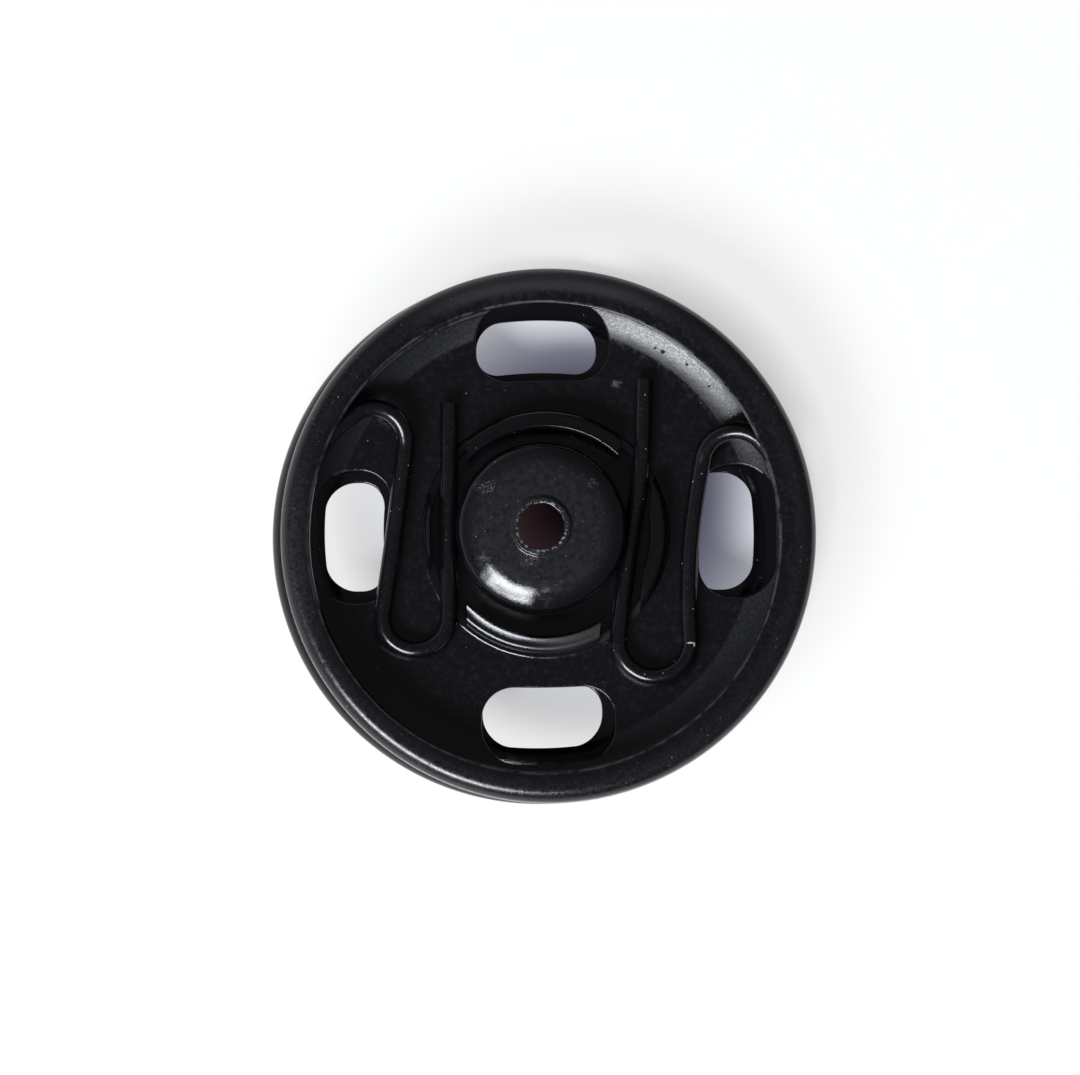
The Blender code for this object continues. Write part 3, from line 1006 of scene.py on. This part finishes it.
class Patterns:
    """The nodes of one material or world, and the masks that they draw.

    Args:
        tree: the node tree.
        space: the texture coordinates that the masks lie in.
    """

    def __init__(self, tree: bpy.types.NodeTree, space: str = "Object") -> None:
        """Starts from the coordinates."""
        self.tree = tree
        self.place = self.add_node("ShaderNodeTexCoord", {}, space)

    def add_node(
        self, kind: str, inputs: dict[str | int, Value], output: str | int = 0, **settings: str | bool
    ) -> Socket:
        """Adds one node with its values, links and settings.

        Args:
            kind: the node's type name, such as ShaderNodeMath.
            inputs: what goes into each socket, by name or number: a value, or another node's output.
            output: the output that is wanted, by name or number.
            **settings: the node's own properties.

        Returns:
            That output.
        """
        node = self.tree.nodes.new(kind)
        for name, value in settings.items():
            setattr(node, name, value)
        for name, value in inputs.items():
            if isinstance(value, Socket):
                self.tree.links.new(value, node.inputs[name])
            else:
                node.inputs[name].default_value = value
        return node.outputs[output]

    def joined(self, how: Join, *masks: Socket) -> Socket:
        """Joins masks into one.

        Args:
            how: ALL for where all of them are, ANY for where any of them is.
            *masks: the masks.

        Returns:
            The joined mask.
        """
        result = masks[0]
        for mask in masks[1:]:
            result = self.add_node("ShaderNodeMath", {0: result, 1: mask}, operation=how.value, use_clamp=True)
        return result

    def step(self, value: Socket, low: float, high: float, within: Socket | None = None) -> Socket:
        """A smooth step.

        Args:
            value: what is compared.
            low: where the mask is 0.
            high: where the mask is 1.
            within: another mask that bounds this one.

        Returns:
            The mask.
        """
        inputs = {"Value": value, "From Min": low, "From Max": high}
        mask = self.add_node("ShaderNodeMapRange", inputs, "Result", interpolation_type="SMOOTHSTEP")
        return self.joined(Join.ALL, mask, within) if within else mask

    def grain(
        self,
        spacing: float,
        low: float,
        high: float,
        detail: float = 3.0,
        place: Socket | None = None,
        within: Socket | None = None,
    ) -> Socket:
        """Uneven blotches.

        Args:
            spacing: distance between blotches in millimetres.
            low: level of the noise where the mask is 0.
            high: level of the noise where the mask is 1.
            detail: how many finer sizes are mixed in.
            place: coordinates other than the usual ones.
            within: another mask that bounds this one.

        Returns:
            The mask.
        """
        inputs = {"Vector": place or self.place, "Scale": per_metre(spacing), "Detail": detail}
        noise = self.add_node("ShaderNodeTexNoise", inputs | {"Roughness": NOISE_MIX}, "Fac")
        return self.step(noise, low, high, within)

    def flecks(self, spacing: float, size: float, share: float, within: Socket | None = None) -> Socket:
        """Small round specks.

        Args:
            spacing: distance between places where a speck may be, in millimetres.
            size: radius of a speck in millimetres.
            share: part of those places that have one.
            within: another mask that bounds this one.

        Returns:
            The mask.
        """
        inputs = {"Vector": self.place, "Scale": per_metre(spacing)}
        far = self.add_node("ShaderNodeTexVoronoi", inputs, "Distance")
        spot = self.step(far, size / spacing, 0.5 * size / spacing, within)
        pick = self.add_node("ShaderNodeSeparateColor", {0: far.node.outputs["Color"]})
        kept = self.add_node("ShaderNodeMath", {0: pick, 1: share}, operation="LESS_THAN")
        return self.joined(Join.ALL, spot, kept)

    def from_axis(self, x: float, y: float, stretch: Point = (1.0, 1.0)) -> Socket:
        """Distance in millimetres from an upright axis.

        Args:
            x: where the axis stands.
            y: where the axis stands.
            stretch: how much longer than round the shape is along X and Y.

        Returns:
            The distance, each way divided by its stretch.
        """
        size = (1 / (stretch[0] * MM), 1 / (stretch[1] * MM), 0.0)
        shift = (-x / stretch[0], -y / stretch[1], 0.0)
        flat = self.add_node("ShaderNodeVectorMath", {0: self.place, 1: size, 2: shift}, operation="MULTIPLY_ADD")
        return self.add_node("ShaderNodeVectorMath", {0: flat}, "Value", operation="LENGTH")

    def ring(self, band: Band, within: Socket | None = None) -> Socket:
        """A soft ring.

        Args:
            band: where it is.
            within: another mask that bounds this one.

        Returns:
            The mask.
        """
        inputs = {0: self.from_axis(band.x, band.y), 1: band.radius}
        off = self.add_node("ShaderNodeMath", inputs, operation="SUBTRACT")
        far = self.add_node("ShaderNodeMath", {0: off}, operation="ABSOLUTE")
        return self.step(far, 0.5 * band.width, 0.2 * band.width, within)

    def patch(self, spot: Spot, within: Socket | None = None) -> Socket:
        """A soft oval, bounded by another mask if there is one."""
        return self.step(self.from_axis(spot.x, spot.y, (spot.half_x, spot.half_y)), 1.0, 0.35, within)

    def round_rim(self, band: Band, along: float, across: float) -> Socket:
        """Coordinates that run round an axis, so that scratches follow the rim.

        Args:
            band: the ring at whose radius the two lengths below are true.
            along: length along the rim that counts as one metre.
            across: length across the rim that counts as one metre.

        Returns:
            The coordinates.
        """
        inputs = {0: self.place, 1: (-band.x * MM, -band.y * MM, 0.0)}
        moved = self.add_node("ShaderNodeVectorMath", inputs, operation="ADD")
        x, y, z = self.add_node("ShaderNodeSeparateXYZ", {0: moved}).node.outputs
        turn = self.add_node("ShaderNodeMath", {0: y, 1: x}, operation="ARCTAN2")
        inputs = {0: turn, 1: band.radius * MM / along}
        run = self.add_node("ShaderNodeMath", inputs, operation="MULTIPLY")
        inputs = {0: self.from_axis(band.x, band.y), 1: MM / across}
        out = self.add_node("ShaderNodeMath", inputs, operation="MULTIPLY")
        return self.add_node("ShaderNodeCombineXYZ", {0: run, 1: out, 2: z})

    def layers(self, base: Colour, *coats: tuple[Socket, Colour]) -> Socket:
        """Lays colours over one another.

        Args:
            base: the lowest colour.
            *coats: each further colour with its mask before it, from the lowest up.

        Returns:
            The colour of each place.
        """
        result = base
        for mask, coat in coats:
            result = self.add_node("ShaderNodeMix", {0: mask, 6: result, 7: coat}, 2, data_type="RGBA")
        return result


@dataclass(frozen=True)
class BakedEnamel:
    """Glossy black enamel, dipped and baked on stamped steel.

    The coat is deep black and follows the metal, so that it shows crisp highlights. Its fine grain and pits
    break the edges of those highlights up, and pale dust sits on it here and there. It covers the metal, so it
    isn't metallic, and it keeps the default IOR of 1.5, which is that of a baked resin. The grain of such a coat
    is about 0.05 mm, which is less than a pixel, and is drawn at 0.1 to 0.3 mm so that it shows.

    Attributes:
        name: name of the material.
        colour: the coat's colour.
        thin: its colour where it lies thin or is dulled.
        thin_spacing: distance between thin places in mm.
        roughness: gloss of the coat.
        rub: how many times rougher the coat is where it is rubbed.
        rub_spacing: distance between rubbed places in mm.
        grain: spacing of the coat's grain in mm.
        grain_depth: height of the grain in mm.
        swell: spacing of the slow unevenness in mm.
        swell_depth: height of that unevenness in mm.
        pit: spacing of the places for pits in mm.
        pit_size: radius of a pit in mm.
        pit_share: share of those places that have a pit.
        pit_depth: depth of a pit in mm.
        dust: share of the places for dust that have a speck.
        dust_spacing: spacing of those places in mm.
        dust_size: radius of a speck in mm.
        dust_colour: colour of the dust.
    """

    name: str
    colour: str = "#0c0a0f"
    thin: str = "#151318"
    thin_spacing: float = 0.6
    roughness: float = 0.12
    rub: float = 2.2
    rub_spacing: float = 0.3
    grain: float = 0.2
    grain_depth: float = 0.006
    swell: float = 1.1
    swell_depth: float = 0.012
    pit: float = 0.8
    pit_size: float = 0.06
    pit_share: float = 0.35
    pit_depth: float = 0.02
    dust: float = 0.12
    dust_spacing: float = 0.55
    dust_size: float = 0.045
    dust_colour: str = "#8b8985"

    def thin_areas(self, draw: Patterns) -> Socket:
        """Mask of where the coat lies thin."""
        return draw.grain(self.thin_spacing, 0.45, 0.75)

    def marks(self, draw: Patterns) -> list[Mark]:
        """What lies on the coat or has rubbed it, from the lowest up."""
        return []

    def relief(self, draw: Patterns) -> Socket:
        """Swell, grain and pits of the surface.

        Args:
            draw: the material's patterns.

        Returns:
            The bent normal.
        """
        heights = []
        for spacing, detail, depth in ((self.swell, 1.0, self.swell_depth), (self.grain, 3.0, self.grain_depth)):
            inputs = {"Vector": draw.place, "Scale": per_metre(spacing), "Detail": detail, "Roughness": NOISE_MIX}
            heights.append((draw.add_node("ShaderNodeTexNoise", inputs, "Fac"), depth))
        pits = draw.flecks(self.pit, self.pit_size, self.pit_share)
        heights.append((draw.add_node("ShaderNodeMath", {0: 1.0, 1: pits}, operation="SUBTRACT"), self.pit_depth))
        bent = {}
        for height, depth in heights:
            inputs = {"Strength": 1.0, "Distance": depth * MM, "Height": height}
            bent = {"Normal": draw.add_node("ShaderNodeBump", inputs | bent)}
        return bent["Normal"]

    def material(self) -> bpy.types.Material:
        """Builds the material.

        Returns:
            The material, whose colour, roughness and normal differ from place to place.
        """
        material = bpy.data.materials.new(self.name)
        material.use_nodes = True
        tree = material.node_tree
        draw = Patterns(tree)
        marks = self.marks(draw)
        dust = draw.flecks(self.dust_spacing, self.dust_size, self.dust)
        rubbed = draw.grain(self.rub_spacing, 0.4, 0.65)
        colours = [(self.thin_areas(draw), linear(self.thin))]
        colours += [(mark.mask, linear(mark.colour)) for mark in marks]
        gloss = [(rubbed, grey(self.roughness * self.rub))]
        gloss += [(mark.mask, grey(mark.roughness)) for mark in marks]
        surface = {
            "Base Color": draw.layers(linear(self.colour), *colours, (dust, linear(self.dust_colour))),
            "Roughness": draw.layers(grey(self.roughness), *gloss),
            "Normal": self.relief(draw),
        }
        for name, result in surface.items():
            tree.links.new(result, tree.nodes["Principled BSDF"].inputs[name])
        return material


@dataclass(frozen=True)
class SocketEnamel(BakedEnamel):
    """The enamel of the socket half, handled and a little scratched on its rim.

    The crest of the rim shows short scratches along it and is painted paler at the left, a painted sheen. The
    lip's edge is painted paler all round, a painted highlight that draws a thin line round the dish. The dish has
    run thick in the baking, so that it is less glossy than the web, with an orange peel and a few pinholes in its
    highlight. The flare of the bore has a pale painted highlight at the lower left, and the collar a painted
    shade at the right.

    Attributes:
        crest: the rim's crest.
        lip_edge: the edge of the lip.
        dish_axis: the axis of the dish.
        dish_starts: radii between which the web turns into the dish.
        lip_covers: radii between which the lip begins to cover the dish.
        flare: the edge of the bore that turns up.
        collar_ends: radii between which the collar's finish ends.
        left_painted_sheen: paler, duller patch on the crest at the left, a painted sheen.
        top: paler part of the crest.
        smudge: a smudge on the web.
        collar_painted_shade: duller, darker part of the collar at the right, a painted shade.
        worn: part of the flare, at the lower left, that has a pale grainy painted highlight.
        pinholes: pinholes in the dish.
    """

    crest: Band = Band(0.265, -0.11, 14.5, 2.1)
    lip_edge: Band = Band(0.03, -0.26, 13.25, 0.2)
    dish_axis: Point = (0.05, 0.0)
    dish_starts: Point = (11.65, 11.85)
    lip_covers: Point = (13.2, 13.05)
    flare: Band = Band(0.095, 0.15, 6.05, 0.6)
    collar_ends: Point = (7.05, 6.8)
    left_painted_sheen: Spot = Spot(-14.6, -1.6, 3.2, 8.0)
    top: Spot = Spot(0.0, 14.5, 11.0, 5.0)
    smudge: Spot = Spot(4.12, 8.62, 0.45, 0.3)
    collar_painted_shade: Spot = Spot(3.6, -5.4, 5.2, 3.6)
    worn: Spot = Spot(-2.6, -5.2, 2.2, 1.6)
    pinholes: tuple[Spot, ...] = (
        Spot(6.7, 10.4, 0.17, 0.15),
        Spot(8.05, 9.68, 0.1, 0.1),
        Spot(6.27, 10.61, 0.11, 0.08),
        Spot(9.3, 8.45, 0.09, 0.08),
    )

    def marks(self, draw: Patterns) -> list[Mark]:
        """What lies on the coat or has rubbed it.

        Args:
            draw: the material's patterns.

        Returns:
            The marks, from the lowest up.
        """
        rim = draw.ring(self.crest)
        along_rim = draw.round_rim(self.crest._replace(radius=15.0), 1.6, 0.09)
        mottle = draw.grain(0.16, 0.25, 0.7, 5.0)
        bare = draw.step(draw.from_axis(self.lip_edge.x, self.lip_edge.y), *self.lip_covers)
        dish = draw.step(draw.from_axis(*self.dish_axis), *self.dish_starts, bare)
        collar = draw.step(draw.from_axis(self.flare.x, self.flare.y), *self.collar_ends)
        flare_painted_highlight = draw.ring(self.flare, draw.patch(self.worn))
        return [
            Mark(dish, "#14151a", 0.27),
            # orange peel, whose real 0.1 to 0.2 mm just shows
            Mark(draw.grain(0.12, 0.35, 0.65, 5.0, within=dish), "#1b1c21", 0.4),
            Mark(draw.joined(Join.ANY, *(draw.patch(hole) for hole in self.pinholes)), "#040405", 0.9),
            Mark(collar, "#0a080c", 0.2),
            # the collar's right part is painted darker and made duller, a painted shade where its highlight fades
            Mark(draw.patch(self.collar_painted_shade, collar), "#09080b", 0.5),
            # a pale grainy painted highlight on the flare at the lower left
            Mark(draw.grain(0.14, 0.35, 0.6, 4.0, within=flare_painted_highlight), "#75777d", 0.3),
            # handling has dulled the crest in a fine mottle; it is paler at the rear, and at the left painted
            # paler still, a painted sheen
            Mark(draw.joined(Join.ALL, rim, mottle), "#17151a", 0.3),
            Mark(draw.patch(self.top, rim), "#242126", 0.42),
            # painted sheen: the crest at the left is painted paler
            Mark(draw.patch(self.left_painted_sheen, mottle), "#1d1c22", 0.35),
            Mark(draw.flecks(0.35, 0.05, 0.3, rim), "#4c4a4d", 0.42),
            # scratches 1.6 mm long and 0.09 mm wide, in coordinates where that is one metre
            Mark(draw.grain(1 / MM, 0.66, 0.74, 2.0, along_rim, rim), "#3a393d", 0.42),
            # the lip's edge is painted paler all round: a painted highlight along its rounded edge
            Mark(draw.grain(0.8, 0.3, 0.6, within=draw.ring(self.lip_edge)), "#2e2e31", 0.42),
            Mark(draw.grain(0.25, 0.35, 0.7, within=draw.patch(self.smudge)), "#4a4a4c", 0.5),
        ]


@dataclass(frozen=True)
class WireEnamel(BakedEnamel):
    """The enamel of the spring, drawn wire dipped after bending.

    It is smoother than the plates and rubbed in a fine grain, with dust on it and one short fibre of lint.

    Attributes:
        lint: the two parts of the fibre.
    """

    lint: tuple[Spot, ...] = (Spot(8.26, -6.05, 0.3, 0.06), Spot(8.45, -6.15, 0.06, 0.16))

    def marks(self, draw: Patterns) -> list[Mark]:
        """Rubbed grain and lint, from the lowest up."""
        lint = draw.joined(Join.ANY, *(draw.patch(part) for part in self.lint))
        return [Mark(draw.grain(0.18, 0.56, 0.7, 5.0), "#1c1b20", 0.3), Mark(lint, "#b5b3b0", 0.7)]


@dataclass(frozen=True)
class WornBall(BakedEnamel):
    """The enamel of the ball half, worn thin on the ball by snapping.

    The crown shows a greyish, speckled coat with pale places, of which the one at the lower left of the hole is a
    painted highlight, and bright steel on the torn edge of the pierced hole.

    Attributes:
        burr: the torn edge of the hole, round the ball's axis.
        worn_ends: radii between which the worn coat ends.
        specks_end: radii between which the specks end.
        pale_patches_and_highlight: pale places on the crown; the one at the lower left of the hole is a painted
            highlight.
    """

    burr: Band = Band(-0.125, 0.36, 1.38, 0.26)
    worn_ends: Point = (4.4, 3.4)
    specks_end: Point = (4.2, 3.6)
    pale_patches_and_highlight: tuple[Spot, ...] = (
        Spot(2.77, 2.81, 0.45, 0.4),
        Spot(-3.2, 2.6, 0.9, 0.5),
        Spot(-0.85, -1.45, 0.85, 0.6),
    )

    def thin_areas(self, draw: Patterns) -> Socket:
        """Most of the crown, mottled."""
        crown = draw.step(draw.from_axis(self.burr.x, self.burr.y), *self.worn_ends)
        return draw.grain(0.3, 0.05, 0.85, 6.0, within=crown)

    def marks(self, draw: Patterns) -> list[Mark]:
        """Pale places, one of them a painted highlight, specks and the bright edge of the hole.

        Args:
            draw: the material's patterns.

        Returns:
            The marks, from the lowest up.
        """
        crown = draw.step(draw.from_axis(self.burr.x, self.burr.y), *self.specks_end)
        pale_patches_and_highlight = draw.joined(Join.ANY, *(draw.patch(spot) for spot in self.pale_patches_and_highlight))
        return [
            # pale places on the crown; the one at the lower left of the hole is a painted highlight
            Mark(draw.grain(0.1, 0.5, 0.72, 4.0, within=pale_patches_and_highlight), "#77777b", 0.42),
            Mark(draw.flecks(0.3, 0.05, 0.35, crown), "#4d4d52", 0.42),
            Mark(draw.grain(0.22, 0.5, 0.66, 5.0, within=draw.ring(self.burr)), "#8b8b8d", 0.36),
        ]


@dataclass(frozen=True)
class AcrylicWithPaintedShade:
    """Milky white acrylic sheet, cast matt, with shade painted into it under the fastener.

    The sheet is white all round. Under the fastener its colour and the share of its inner white are painted
    darker in soft discs, a painted shadow, so that it is grey through the slots and darker still through the
    ball's hole. The camera, reflections and light that passes through glass all see that inner white at a
    strength of 1, and the lamp's shadow stays on the sheet itself.

    Attributes:
        name: name of the material.
        roughness: the matt surface.
        specular: how weakly that surface reflects.
        middle: middle of the painted shade, under the fastener and away from the lamp.
        opens: distances from there between which the painted shade fades into the open white.
        painted_hole_shade_span: distances between which the painted shade turns darker still, under the ball's
            hole.
        glow: share of the open sheet's white that comes from inside.
        reach: distance at which that share is reached; nearer the middle it falls, which paints the shade.
        fade: how steeply it rises up to there.
        colours: colour of the painted shade under the fastener, and of the open sheet.
        tints: colour of the light inside, under the painted shade, in the open, and under the ball's hole.
    """

    name: str = "acrylic_with_painted_shade"
    roughness: float = 0.9
    specular: float = 0.1
    middle: Point = (2.3, 2.6)
    opens: Point = (3.5, 14.0)
    painted_hole_shade_span: Point = (6.5, 4.5)
    glow: float = 0.82
    reach: float = 14.4
    fade: float = 2.3
    colours: tuple[str, str] = ("#523c41", "#fdfdfe")
    tints: tuple[str, str, str] = ("#bcc5f6", "#ffffff", "#c3919e")

    def material(self) -> bpy.types.Material:
        """Builds the material.

        Returns:
            The material, a matt white sheet with light in it.
        """
        material = bpy.data.materials.new(self.name)
        material.use_nodes = True
        tree = material.node_tree
        sheet = tree.nodes["Principled BSDF"]
        sheet.inputs["Roughness"].default_value = self.roughness
        sheet.inputs["Specular IOR Level"].default_value = self.specular
        draw = Patterns(tree)
        # painted shadow: the sheet's colour and its inner white are painted darker round this middle, under the
        # fastener
        away = draw.from_axis(*self.middle)
        open_sheet = draw.step(away, *self.opens)
        painted_hole_shade = draw.step(away, *self.painted_hole_shade_span)
        painted_shade_colour, white = (linear(colour) for colour in self.colours)
        tree.links.new(draw.layers(painted_shade_colour, (open_sheet, white)), sheet.inputs["Base Color"])
        # tints of the inner white: a bluish painted shade under the fastener, white in the open, a reddish
        # painted shade under the hole
        painted_shade_tint, bright, deep = (linear(tint) for tint in self.tints)
        tint = draw.layers(painted_shade_tint, (open_sheet, bright), (painted_hole_shade, deep))
        inner = draw.add_node("ShaderNodeEmission", {"Color": tint, "Strength": 1.0})
        rays = draw.add_node("ShaderNodeLightPath", {}).node.outputs
        seen = draw.joined(Join.ANY, *(rays[f"Is {kind} Ray"] for kind in ("Camera", "Glossy", "Transmission")))
        # the inner white's share falls towards the middle, which paints the shade
        share = away
        for operation, value in (("DIVIDE", self.reach), ("POWER", self.fade), ("MULTIPLY", self.glow)):
            share = draw.add_node("ShaderNodeMath", {0: share, 1: value}, operation=operation, use_clamp=True)
        inputs = {0: draw.joined(Join.ALL, seen, share), 1: sheet.outputs[0], 2: inner}
        mixed = draw.add_node("ShaderNodeMixShader", inputs)
        tree.links.new(mixed, tree.nodes["Material Output"].inputs["Surface"])
        return material


@dataclass(frozen=True)
class Studio:
    """White table, one large soft lamp, a dark ceiling and a pale wall on the left.

    Attributes:
        lamp_turn: direction of the lamp round the object, from +X towards +Y, in degrees.
        lamp_lift: height of the lamp over the horizon, in degrees.
        lamp_reach: distance of the lamp.
        lamp_width: width of the lamp.
        lamp_height: height of the lamp.
        lamp_power: power of the lamp in watts.
        lamp_colour: colour of its light.
        floor_half: half the size of the table.
        ceiling: brightness overhead.
        wall_left: brightness of the wall at the left.
        wall_right: brightness of the wall at the right.
        wall_turns: where the one turns into the other, along X as seen from the table's middle.
        wall_ends: where the walls turn into the ceiling, along Z as seen from there.
    """

    lamp_turn: float = 238.0
    lamp_lift: float = 48.0
    lamp_reach: float = 600.0
    lamp_width: float = 330.0
    lamp_height: float = 190.0
    lamp_power: float = 5.0
    lamp_colour: str = "#f6fbff"
    floor_half: float = 3000.0
    ceiling: float = 0.1
    wall_left: float = 0.6
    wall_right: float = 0.1
    wall_turns: Point = (0.3, -0.8)
    wall_ends: Point = (0.3, 0.6)

    def lamp(self) -> bpy.types.Object:
        """Hangs the lamp.

        Returns:
            The lamp.
        """
        light = bpy.data.lights.new("softbox", "AREA")
        light.shape = "RECTANGLE"
        light.size = self.lamp_width * MM
        light.size_y = self.lamp_height * MM
        light.energy = self.lamp_power
        light.color = linear(self.lamp_colour)[:3]
        lamp = link(bpy.data.objects.new("softbox", light))
        turn, lift = math.radians(self.lamp_turn), math.radians(self.lamp_lift)
        back = Vector((math.cos(turn) * math.cos(lift), math.sin(turn) * math.cos(lift), math.sin(lift)))
        lamp.location = back * self.lamp_reach * MM
        lamp.rotation_euler = back.to_track_quat("Z", "Y").to_euler()
        return lamp

    def floor(self) -> bpy.types.Object:
        """Lays the white table, with shade painted into it under the fastener.

        Returns:
            The table's top, which isn't part of the object.
        """
        builder = bmesh.new()
        bmesh.ops.create_grid(builder, x_segments=1, y_segments=1, size=self.floor_half * MM)
        mesh = bpy.data.meshes.new("white_table")
        builder.to_mesh(mesh)
        builder.free()
        floor = link(bpy.data.objects.new("white_table", mesh))
        mesh.materials.append(AcrylicWithPaintedShade().material())
        return floor

    def room(self) -> bpy.types.World:
        """Makes the room, dark overhead and paler towards its walls.

        Returns:
            The scene's world, the same for every kind of ray. The table hides it from the camera.
        """
        world = bpy.data.worlds.new("studio_room")
        bpy.context.scene.world = world
        world.use_nodes = True
        draw = Patterns(world.node_tree, "Generated")
        x, _, z = draw.add_node("ShaderNodeSeparateXYZ", {0: draw.place}).node.outputs
        left = (draw.step(x, *self.wall_turns), grey(self.wall_left))
        overhead = (draw.step(z, *self.wall_ends), grey(self.ceiling))
        level = draw.layers(grey(self.wall_right), left, overhead)
        world.node_tree.links.new(level, world.node_tree.nodes["Background"].inputs["Color"])
        return world


@dataclass(frozen=True)
class Camera:
    """The camera as the photograph has it: far, and almost straight above.

    Attributes:
        target: what the middle of the picture looks at.
        tilt: angle off straight down, towards -Y, in degrees.
        reach: distance to the target.
        view_width: width of the view at the target.
        sensor: width of the sensor.
        clip: nearest and farthest distance that it sees, in metres.
    """

    target: tuple[float, float, float] = (-0.2, -0.183, 5.6)
    tilt: float = 4.0
    reach: float = 950.0
    view_width: float = 60.54
    sensor: float = 36.0
    clip: Point = (0.05, 10.0)

    def build(self) -> bpy.types.Object:
        """Sets up the camera.

        Returns:
            The scene's camera.
        """
        lens = bpy.data.cameras.new("camera")
        lens.sensor_width = self.sensor
        lens.lens = self.sensor * self.reach / self.view_width
        lens.clip_start, lens.clip_end = self.clip
        camera = link(bpy.data.objects.new("camera", lens))
        tilt = math.radians(self.tilt)
        back = Vector((0, -math.sin(tilt), math.cos(tilt)))
        camera.location = (Vector(self.target) + back * self.reach) * MM
        camera.rotation_euler = (tilt, 0, 0)
        bpy.context.scene.camera = camera
        return camera


def main() -> None:
    """Builds and dresses the fastener, then the studio and the camera."""
    logging.basicConfig(level=logging.INFO, format="%(name)s %(message)s")
    bpy.context.scene.view_settings.view_transform = "Standard"
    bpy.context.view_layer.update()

    ball = BallPlate(
        node="ball_plate",
        half=Half.BALL,
        slot="ball_enamel",
        middle=(0.14, 0.25),
        slots_off=(0.02, 0.09),
        punch=SlotPunch(
            length=6.7,
            width=3.3,
            end_flat=0.3,
            bow=0.28,
            inset=2.95,
            trims=((0.0, 0.1), (0.33, 0.0), (0.0, 0.6), (-0.15, 0.0)),
        ),
    )
    socket = SocketPlate(
        node="socket_plate",
        half=Half.SOCKET,
        slot="socket_enamel",
        middle=(-0.17, 0.26),
        slots_off=(-0.17, 0.26),
        lip_off=(-0.24, -0.15),
        punch=SlotPunch(length=7.5, width=4.265, end_flat=0.4, bow=0.15, inset=2.1),
    )
    spring = Spring(ball, socket)
    socket.slits = spring.slits()

    worn = WornBall("worn_enamel_on_drawn_steel", thin="#29292e", roughness=0.085, grain=0.09, grain_depth=0.0045)
    glossy = SocketEnamel("baked_enamel_on_stamped_steel")
    smooth = WireEnamel(
        "baked_enamel_on_drawn_wire",
        thin="#100f13",
        roughness=0.17,
        rub=1.3,
        grain=0.3,
        grain_depth=0.003,
        pit=2.0,
        dust=0.42,
        dust_size=0.052,
        dust_colour="#96948f",
    )
    for piece, finish in ((ball, worn), (socket, glossy), (spring, smooth)):
        piece.build().data.materials.append(finish.material())

    studio = Studio()
    studio.floor()
    studio.lamp()
    studio.room()
    Camera().build()


if __name__ == "__main__":
    main()
